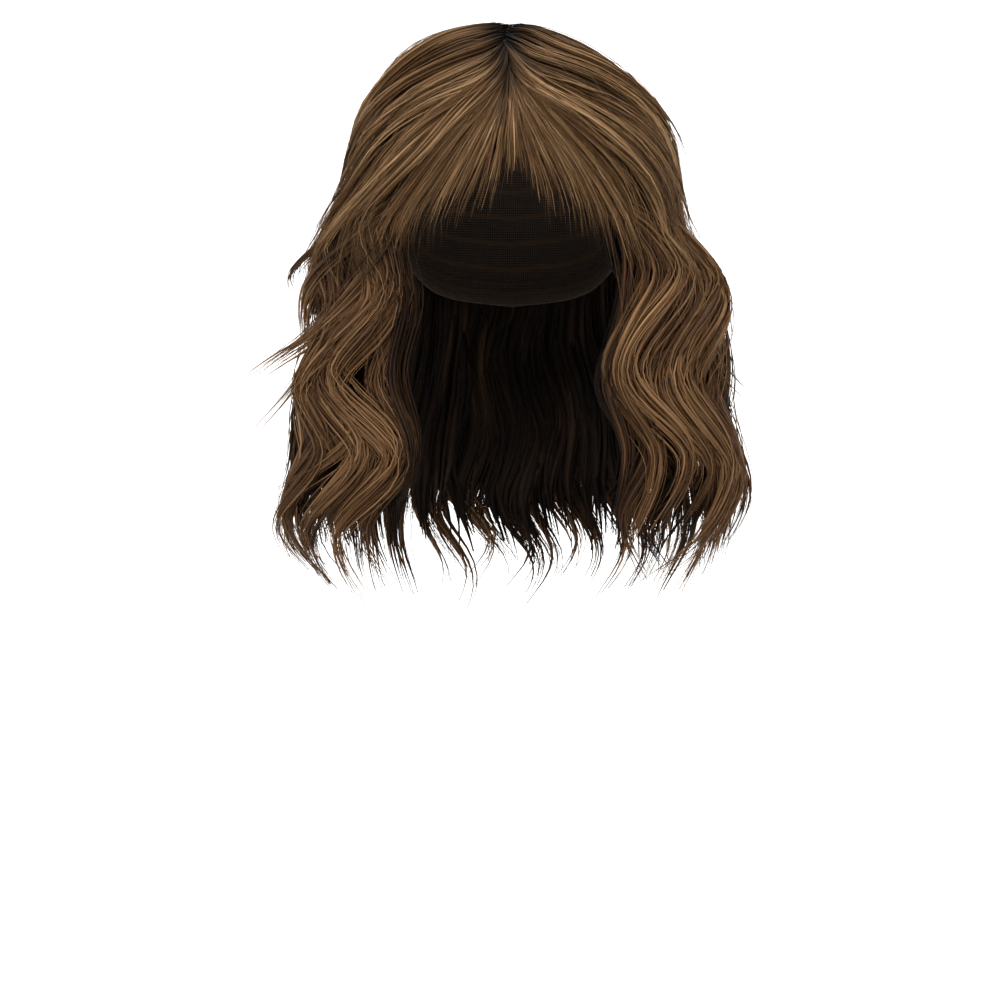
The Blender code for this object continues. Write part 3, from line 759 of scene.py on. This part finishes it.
def feature_locks(tubes, rng, side):
    """The locks that show from the front, each along its own course.

    Where a lock reaches out further than the form does, the sine of its azimuth levels off, and what is
    left of the reach lifts the lock off the form.
    """
    for row in FEATURES:
        if row.side != side:
            continue
        places = [turn.along for turn in row.turns]
        reaches = [turn.reach for turn in row.turns]
        middle = sum(reaches) / len(reaches)

        def guide(along, share):
            late = rng.normal(0.0, FEATURE_LATE, (len(along), 1))
            calm = rng.uniform(0.0, CALMEST, (len(along), 1))
            reach = curve(places, reaches, along + late)
            reach = LOCK_REACH * (reach + calm * (middle - reach) * smooth(1.0, 1.2, along))
            wide = half_width(np.maximum(along, 1.0), 1.0) + MM * read(FULLNESS, SIDE_NAMES[side], along)
            sine = np.maximum(reach / wide, 0.0)
            sine = np.minimum(sine, LEVEL_SINE + SINE_LEFT * np.tanh((sine - LEVEL_SINE) / SINE_LEFT))
            return np.degrees(np.arcsin(sine)), row.depth, np.maximum(reach - sine * wide, 0.0)

        lock = Lock(
            steps=32, ribbons=round(FULL_RIBBONS * row.body), strands=round(FULL_STRANDS * row.body),
            root=0.78, tip=row.tip, ragged=0.17, gather=0.6, spread=row.spread, plump=4.5,
            ribbon=2.9, strand=0.75, tone=row.tone
        )
        add_lock(tubes, rng, lock, side, guide, edged=True)


def flyaways(tubes, rng, kind, side):
    """Single fine hairs that leave the others and stand off the outline."""
    reach = REACH[kind]
    each = (FLYAWAYS, 1)
    share = np.linspace(0.0, 1.0, FLYAWAY_STEPS)[None, :]
    middle = rng.uniform(reach.start, reach.end, each)
    root = np.maximum(LAYERS[kind][0].root, rng.uniform(0.0, 1.0, each))
    along = root + rng.uniform(0.25, 0.75, each) * share
    azimuth = middle + rng.normal(0.0, 8.0, each) * share + 3.0 * np.sin(6.0 * share + middle)
    lift = MM * rng.uniform(2.0, 9.0, each) * smooth(0.0, 0.8, share)
    width = FLYAWAY_WIDTH * (1.0 - 0.6 * share) * np.ones_like(middle)
    roll = np.zeros_like(width)
    tone = rng.uniform(0.4, 0.9, each)
    add_tubes(tubes, rng, STRAND, side, (azimuth, along, FLYAWAY_DEPTH, lift), width, roll, tone)


def tube_rings(outline, points, outward, width, roll):
    """Corners of the tubes: one ring of the outline's corners at each step of each tube."""
    ahead = unit(np.gradient(points, axis=1))
    across = unit(np.cross(ahead, outward))
    up = np.cross(across, ahead)
    turned = across * np.cos(roll)[..., None] + up * np.sin(roll)[..., None]
    up = np.cross(turned, ahead)
    corners = np.array(outline) * (width / 2)[..., None, None]
    return points[:, :, None] + corners[..., 0:1] * turned[:, :, None] + corners[..., 1:2] * up[:, :, None]


def tube_faces(count, steps, sides):
    """Corner indices of the faces of closed tubes: the quads round them, and an end face at each end."""
    corner = np.arange(sides)
    base = (np.arange(count) * steps * sides)[:, None, None]
    ring = (np.arange(steps - 1) * sides)[None, :, None]
    a, b = base + ring + corner, base + ring + (corner + 1) % sides
    quads = np.stack([a, b, b + sides, a + sides], axis=-1).reshape(-1, 4)
    first = base[:, 0] + corner[::-1]
    last = base[:, 0] + (steps - 1) * sides + corner
    return quads, np.concatenate([first, last])


def tube_map(count, steps, sides, columns, foot, tall):
    """Places in the UV map, a stripe to a tube, side by side in bands of one height above a foot.

    A stripe keeps a margin all round, and the end faces lie in it as slivers below and above.
    """
    tube = np.arange(count)
    left = (tube % columns)[:, None, None, None] / columns
    low = foot + tall * (tube // columns)[:, None, None, None]
    corner = np.arange(sides)[None, None, :, None]
    step = np.arange(steps - 1)[None, :, None, None]
    wide = (corner + np.array([0, 1, 1, 0])) / sides
    high = (step + np.array([0, 0, 1, 1])) / (steps - 1)
    u = left + (STRIPE_SIDE + (1.0 - 2.0 * STRIPE_SIDE) * wide) / columns
    v = low + (STRIPE_END + (1.0 - 2.0 * STRIPE_END) * high) * tall
    quads = np.stack(np.broadcast_arrays(u, v), axis=-1).reshape(-1, 2)
    u = left[:, 0, 0] + np.linspace(SLIVER_SIDE, 1.0 - SLIVER_SIDE, sides)[None, :] / columns
    dip = SLIVER_PLACE * tall - SLIVER_TALL * tall * np.sin(np.linspace(0, math.pi, sides))[None, :]
    first = np.stack([u[:, ::-1], low[:, 0, 0] + dip], axis=-1).reshape(-1, 2)
    last = np.stack([u, low[:, 0, 0] + tall - dip], axis=-1).reshape(-1, 2)
    return quads, first, last


def merge(tubes):
    """The tubes gathered into one set of arrays for each kind of fibre and number of steps."""
    groups = {}
    for fibre, points, outward, width, roll, tone_painted_shade_random in tubes:
        groups.setdefault((fibre, points.shape[1]), []).append((points, outward, width, roll, tone_painted_shade_random))
    return [(fibre, *[np.concatenate(a) for a in zip(*group)]) for (fibre, _), group in groups.items()]


def fibre_pattern(outline, points, width, tone_painted_shade_random):
    """Where each corner lies on its fibre: across it in mm, along it in m, and a random number."""
    along = np.linalg.norm(np.diff(points, axis=1, prepend=points[:, :1]), axis=-1).cumsum(axis=1)
    across = (width / 2 / MM)[..., None] * np.array(outline)[None, None, :, 0]
    return np.stack(np.broadcast_arrays(across, along[..., None], tone_painted_shade_random[..., 2:3] * 100), axis=-1)


def new_mesh(name, corners, loops, sizes, places):
    """A smooth mesh of these corners, faces of these sizes and places in the UV map."""
    mesh = bpy.data.meshes.new(name)
    mesh.vertices.add(len(corners))
    mesh.vertices.foreach_set("co", corners.astype(np.float32).ravel())
    mesh.loops.add(len(loops))
    mesh.loops.foreach_set("vertex_index", loops.astype(np.int32))
    mesh.polygons.add(len(sizes))
    mesh.polygons.foreach_set("loop_start", (np.cumsum(sizes) - sizes).astype(np.int32))
    mesh.polygons.foreach_set("use_smooth", np.ones(len(sizes), bool))
    mesh.uv_layers.new(name="OFBake").data.foreach_set("uv", places.astype(np.float32).ravel())
    return mesh


def make_hair(name, tubes, material):
    """All of a piece's ribbons and strands, each a closed tube, in one mesh.

    The streaks read two attributes: strand holds tone, painted shade and a random number, and fibre
    holds the place on the fibre.
    """
    groups = merge(tubes)
    bands = [math.ceil(len(group[1]) / group[0].columns) for group in groups]
    corners, loops, sizes, places, strand, pattern = [], [], [], [], [], []
    offset = 0
    for k, (fibre, points, outward, width, roll, tone_painted_shade_random) in enumerate(groups):
        count, steps = points.shape[:2]
        sides = len(fibre.outline)
        rings = tube_rings(fibre.outline, points, outward, width, roll)
        quads, ends = tube_faces(count, steps, sides)
        corners.append(rings.reshape(-1, 3))
        loops += [quads.ravel() + offset, ends.ravel() + offset]
        sizes += [np.full(len(quads), 4), np.full(len(ends), sides)]
        foot = sum(bands[:k]) / sum(bands)
        places += tube_map(count, steps, sides, fibre.columns, foot, 1 / sum(bands))
        strand.append(np.repeat(tone_painted_shade_random.reshape(-1, 3), sides, axis=0))
        pattern.append(fibre_pattern(fibre.outline, points, width, tone_painted_shade_random).reshape(-1, 3))
        offset += rings.size // 3
    mesh = new_mesh(name, *(np.concatenate(a) for a in (corners, loops, sizes, places)))
    for word, values in (("strand", strand), ("fibre", pattern)):
        layer = mesh.attributes.new(word, "FLOAT_VECTOR", "POINT")
        layer.data.foreach_set("vector", np.concatenate(values).astype(np.float32).ravel())
    mesh.update(calc_edges=True)
    mesh.materials.append(material)
    return add_object(name, mesh)


def add_object(name, data):
    """A new object in the scene."""
    thing = bpy.data.objects.new(name, data)
    bpy.context.scene.collection.objects.link(thing)
    return thing


def hem_angle(azimuth):
    """Angle from straight up at which the cap ends."""
    ear = (EAR_HEM_DROP - FRONT_HEM_DROP) * read(CAP_HEM, "ear", azimuth)
    nape = (NAPE_HEM_DROP - FRONT_HEM_DROP) * read(CAP_HEM, "nape", azimuth)
    return np.arccos((CROWN_RISE - FRONT_HEM_DROP - ear - nape) / CROWN_RISE)


def corner_order(item):
    """A number for an edge or a face that rises with its first corner, and then with its last."""
    corners = [vertex.index for vertex in item.verts]
    return min(corners) + max(corners) / MOST_CORNERS


def cap_shell(name, material, rings, highest, closed, wall):
    """A shell from the cap's hem up to a share of the way to the top, with its wall outwards.

    The attribute net holds the azimuth, and the ways down from the top and up from the hem in mm.
    """
    bm = bmesh.new()
    net = bm.verts.layers.float_vector.new("net")
    hem = bmesh.ops.create_circle(bm, cap_ends=False, segments=CAP_COLUMNS, radius=1.0)["verts"]
    levels = {vertex: 0 for vertex in hem}
    ring = bm.edges[:]
    for level in range(1, rings + 1):
        grown = bmesh.ops.extrude_edge_only(bm, edges=ring)["geom"]
        ring = [item for item in grown if isinstance(item, bmesh.types.BMEdge)]
        levels.update({item: level for item in grown if isinstance(item, bmesh.types.BMVert)})
    if closed:
        bmesh.ops.contextual_create(bm, geom=ring)
    for vertex, level in levels.items():
        x, y = vertex.co.x, vertex.co.y
        azimuth = math.degrees(math.atan2(abs(x), -y))
        full = float(hem_angle(azimuth))
        polar = full * (1.0 - highest * level / rings)
        vertex.co.x = HEAD_WIDTH / 2 * x * math.sin(polar)
        vertex.co.y = HEAD_LENGTH / 2 * y * math.sin(polar)
        vertex.co.z = CROWN_RISE * math.cos(polar) - CROWN_RISE
        vertex[net] = (azimuth, polar * CROWN_RISE / MM, (full - polar) * CROWN_RISE / MM)
    bmesh.ops.recalc_face_normals(bm, faces=bm.faces[:])
    if bm.calc_volume(signed=True) < 0.0:
        bmesh.ops.reverse_faces(bm, faces=bm.faces[:])
    # Extruding leaves edges and faces in another order on each run
    bm.verts.index_update()
    bm.edges.sort(key=corner_order)
    bm.faces.sort(key=corner_order)
    mesh = bpy.data.meshes.new(name)
    bm.to_mesh(mesh)
    bm.free()
    mesh.shade_smooth()
    mesh.materials.append(material)
    piece = add_object(name, mesh)
    solid = piece.modifiers.new("wall", "SOLIDIFY")
    solid.thickness = wall
    solid.offset = 1.0
    solid.use_even_offset = True
    return piece


def add_node(tree, kind, inputs, **settings):
    """A node with its settings, and with its inputs set to values or linked to sockets."""
    node = tree.nodes.new("ShaderNode" + kind)
    for name, value in settings.items():
        setattr(node, name, value)
    for name, value in inputs.items():
        if isinstance(value, bpy.types.NodeSocket):
            tree.links.new(value, node.inputs[name])
        else:
            node.inputs[name].default_value = value
    return node


def mix(tree, factor, first, second, blend="MIX"):
    """A mix of two colours."""
    inputs = {"Factor": factor, "A": first, "B": second}
    return add_node(tree, "Mix", inputs, data_type="RGBA", blend_type=blend).outputs["Result"]


def new_material(name, specular):
    """A material with its node tree and its shader."""
    material = bpy.data.materials.new(name)
    material.use_nodes = True
    shader = material.node_tree.nodes["Principled BSDF"]
    shader.inputs["Specular IOR Level"].default_value = specular
    return material, material.node_tree, shader


def link_relief(tree, shader, height, strength, distance):
    """Feed the shader's normal from a height."""
    bump = add_node(tree, "Bump", {"Height": height, "Strength": strength, "Distance": distance})
    tree.links.new(bump.outputs["Normal"], shader.inputs["Normal"])


def streaks_group():
    """Node group: the colour, roughness and height of hair, streaked along its strands, with painted shade.

    Fine noise along each fibre and the lock's own tone choose between dark, middle and light.
    """
    tree = bpy.data.node_groups.new("hair_streaks", "ShaderNodeTree")
    for name in ("Dark", "Middle", "Light"):
        tree.interface.new_socket(name, in_out="INPUT", socket_type="NodeSocketColor")
    tree.interface.new_socket("Colour", in_out="OUTPUT", socket_type="NodeSocketColor")
    tree.interface.new_socket("Roughness", in_out="OUTPUT", socket_type="NodeSocketFloat")
    tree.interface.new_socket("Height", in_out="OUTPUT", socket_type="NodeSocketFloat")
    given = tree.nodes.new("NodeGroupInput").outputs
    strand = add_node(tree, "Attribute", {}, attribute_name="strand")
    tone, painted_shade, _ = add_node(tree, "SeparateXYZ", {0: strand.outputs["Vector"]}).outputs
    fibre = add_node(tree, "Attribute", {}, attribute_name="fibre").outputs["Vector"]
    fine = add_node(tree, "VectorMath", {0: fibre, 1: (1.3, 12.0, 1.0)}, operation="MULTIPLY").outputs[0]
    noise = add_node(tree, "TexNoise", {"Vector": fine, "Scale": 1.0, "Detail": 3.0, "Roughness": 0.65})
    streak = noise.outputs["Fac"]
    level = add_node(tree, "Math", {0: streak, 1: 1.5, 2: tone}, operation="MULTIPLY_ADD").outputs[0]
    low = add_node(tree, "MapRange", {"Value": level, "From Min": 0.70, "From Max": 1.22})
    high = add_node(tree, "MapRange", {"Value": level, "From Min": 1.22, "From Max": 1.75})
    brown = mix(tree, low.outputs["Result"], given["Dark"], given["Middle"])
    brown = mix(tree, high.outputs["Result"], brown, given["Light"])
    # The painted shade darkens the hair's colour
    brown_with_painted_shade = mix(tree, 1.0, brown, painted_shade, "MULTIPLY")
    # Hair darkened by painted shade is rougher, so that it shows no gloss
    rough = add_node(tree, "MapRange", {"Value": streak, "To Min": 0.70, "To Max": 0.92})
    rough = add_node(
        tree, "Math", {0: painted_shade, 1: -0.30, 2: rough.outputs["Result"]}, operation="MULTIPLY_ADD"
    )
    result = tree.nodes.new("NodeGroupOutput").inputs
    tree.links.new(brown_with_painted_shade, result["Colour"])
    tree.links.new(rough.outputs[0], result["Roughness"])
    tree.links.new(streak, result["Height"])
    return tree


def hair_material(name, streaks, dark, middle, light):
    """Satin hair fibre."""
    material, tree, shader = new_material(name, specular=0.10)
    group = add_node(tree, "Group", {}, node_tree=streaks)
    for word, colour in (("Dark", dark), ("Middle", middle), ("Light", light)):
        group.inputs[word].default_value = (*colour, 1)
    tree.links.new(group.outputs["Colour"], shader.inputs["Base Color"])
    tree.links.new(group.outputs["Roughness"], shader.inputs["Roughness"])
    link_relief(tree, shader, group.outputs["Height"], strength=0.7, distance=0.0004)
    return material


def net_material():
    """Dark woven net, with rows of sewn hair along it."""
    thread_dark, thread_light = (0.006, 0.004, 0.003, 1), (0.040, 0.028, 0.020, 1)
    tuft_dark, tuft_light = (0.010, 0.006, 0.004, 1), (0.060, 0.034, 0.018, 1)
    material, tree, shader = new_material("cap_net", specular=0.15)
    shader.inputs["Roughness"].default_value = 0.8
    net = add_node(tree, "Attribute", {}, attribute_name="net")
    around, down, above = add_node(tree, "SeparateXYZ", {0: net.outputs["Vector"]}).outputs
    flat = add_node(tree, "CombineXYZ", {"X": around, "Y": down}).outputs[0]
    fine = add_node(tree, "VectorMath", {0: flat, 1: (0.9, 0.6, 1.0)}, operation="MULTIPLY").outputs[0]
    mesh = add_node(
        tree, "TexVoronoi", {"Vector": fine, "Scale": 1.0, "Randomness": 0.25},
        voronoi_dimensions="2D", feature="DISTANCE_TO_EDGE"
    )
    edges = {"From Min": 0.10, "From Max": 0.22, "To Min": 1.0, "To Max": 0.0}
    thread = add_node(tree, "MapRange", {"Value": mesh.outputs["Distance"], **edges}).outputs["Result"]
    rows = add_node(tree, "Math", {0: above, 1: 9.0}, operation="PINGPONG").outputs[0]
    row = add_node(tree, "MapRange", {"Value": rows, "From Min": 7.0, "From Max": 7.6}).outputs["Result"]
    tuft = add_node(tree, "TexNoise", {"Vector": flat, "Scale": 2.5, "Detail": 2.0}).outputs["Fac"]
    brown = mix(tree, tuft, tuft_dark, tuft_light)
    cloth = mix(tree, thread, thread_dark, thread_light)
    tree.links.new(mix(tree, row, cloth, brown), shader.inputs["Base Color"])
    height = add_node(tree, "Math", {0: thread, 1: row}, operation="MAXIMUM").outputs[0]
    link_relief(tree, shader, height, strength=0.6, distance=0.0004)
    return material


def tape_material():
    """Ribbed brown tape with a seam along it."""
    rib_dark, rib_light = (0.020, 0.013, 0.008, 1), (0.050, 0.032, 0.020, 1)
    seam_dark = (0.010, 0.007, 0.005, 1)
    material, tree, shader = new_material("hem_tape", specular=0.15)
    shader.inputs["Roughness"].default_value = 0.85
    net = add_node(tree, "Attribute", {}, attribute_name="net")
    around, _, above = add_node(tree, "SeparateXYZ", {0: net.outputs["Vector"]}).outputs
    ribs = add_node(tree, "Math", {0: around, 1: TAPE_RIB}, operation="PINGPONG").outputs[0]
    rib = add_node(tree, "MapRange", {"Value": ribs, "From Max": TAPE_RIB}).outputs["Result"]
    seams = add_node(tree, "Math", {0: above, 1: 4.2}, operation="PINGPONG").outputs[0]
    seam = add_node(tree, "MapRange", {"Value": seams, "From Min": 3.4, "From Max": 3.9}).outputs["Result"]
    colour = mix(tree, rib, rib_dark, rib_light)
    tree.links.new(mix(tree, seam, colour, seam_dark), shader.inputs["Base Color"])
    link_relief(tree, shader, rib, strength=0.5, distance=0.0003)
    return material


def floor_material():
    """Pale card with a faint grain."""
    material, tree, shader = new_material("pale_card", specular=0.1)
    shader.inputs["Roughness"].default_value = 0.9
    spot = add_node(tree, "TexCoord", {}).outputs["Object"]
    grain = add_node(tree, "TexNoise", {"Vector": spot, "Scale": 60.0}).outputs["Fac"]
    colour = mix(tree, grain, (0.90, 0.90, 0.90, 1), (0.94, 0.94, 0.94, 1))
    tree.links.new(colour, shader.inputs["Base Color"])
    return material


def make_floor():
    """Pale floor that sweeps up behind."""
    bm = bmesh.new()
    left = [bm.verts.new((-FLOOR_HALF_WIDTH, y, z)) for y, z in FLOOR_PROFILE]
    edges = [bm.edges.new(pair) for pair in zip(left, left[1:])]
    bmesh.ops.extrude_edge_only(bm, edges=edges)
    for vertex in bm.verts[len(FLOOR_PROFILE):]:
        vertex.co.x = FLOOR_HALF_WIDTH
    mesh = bpy.data.meshes.new("floor")
    bm.to_mesh(mesh)
    bm.free()
    mesh.shade_smooth()
    mesh.materials.append(floor_material())
    add_object("floor", mesh)


def make_lamps():
    """White surroundings and the soft lamps."""
    world = bpy.data.worlds.new("studio")
    bpy.context.scene.world = world
    world.use_nodes = True
    background = world.node_tree.nodes["Background"]
    background.inputs["Color"].default_value = (1.0, 1.0, 1.0, 1)
    background.inputs["Strength"].default_value = SURROUNDINGS
    for row in LAMPS:
        light = bpy.data.lights.new(row.name, "AREA")
        light.size = row.size
        light.energy = row.power
        lamp = add_object(row.name, light)
        lamp.location = row.spot
        lamp.rotation_euler = (Vector(row.aim) - Vector(row.spot)).to_track_quat("-Z", "Y").to_euler()


def make_camera():
    """The camera at the photo's place, level, with its colours as they are."""
    lens = bpy.data.cameras.new("camera")
    lens.sensor_width = SENSOR_WIDTH
    lens.lens = SENSOR_WIDTH * CAMERA_DISTANCE / PICTURE_WIDTH
    camera = add_object("camera", lens)
    camera.location = CAMERA_SPOT
    camera.rotation_euler = (math.radians(90), 0, 0)
    bpy.context.scene.camera = camera
    bpy.context.scene.view_settings.view_transform = "Standard"


def make_locks(kind, side):
    """The tubes of one piece of hair."""
    rng = np.random.default_rng(SEEDS[kind] + (side > 0))
    tubes = []
    section_locks(tubes, rng, kind, side)
    if kind == "side":
        section_locks(tubes, rng, "outer", side)
        feature_locks(tubes, rng, side)
    if kind != "fringe":
        flyaways(tubes, rng, kind, side)
    return tubes


def main():
    """Hair on both sides, the cap under it, and the studio."""
    streaks = streaks_group()
    finishes = {
        "upper_hair": hair_material(
            "upper_hair", streaks,
            dark=(0.012, 0.0052, 0.0018), middle=(0.098, 0.0485, 0.0182), light=(0.345, 0.207, 0.100)
        ),
        "under_hair": hair_material(
            "under_hair", streaks,
            dark=(0.007, 0.0029, 0.0011), middle=(0.059, 0.0262, 0.0098), light=(0.255, 0.140, 0.062)
        ),
    }
    for side, word in SIDE_NAMES.items():
        for row in PIECES:
            tubes = make_locks(row.kind, side)
            piece = make_hair(row.kind + "_strands_" + word, tubes, finishes[row.finish])
            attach(piece, "root")
            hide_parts(row.node.format(word))
    net = cap_shell("cap_net", net_material(), rings=26, highest=0.985, closed=True, wall=CAP_WALL)
    tape = cap_shell("hem_tape", tape_material(), rings=3, highest=0.11, closed=False, wall=TAPE_WALL)
    for piece in (net, tape):
        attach(piece, "root")
        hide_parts("cap")
    make_floor()
    make_lamps()
    make_camera()


main()
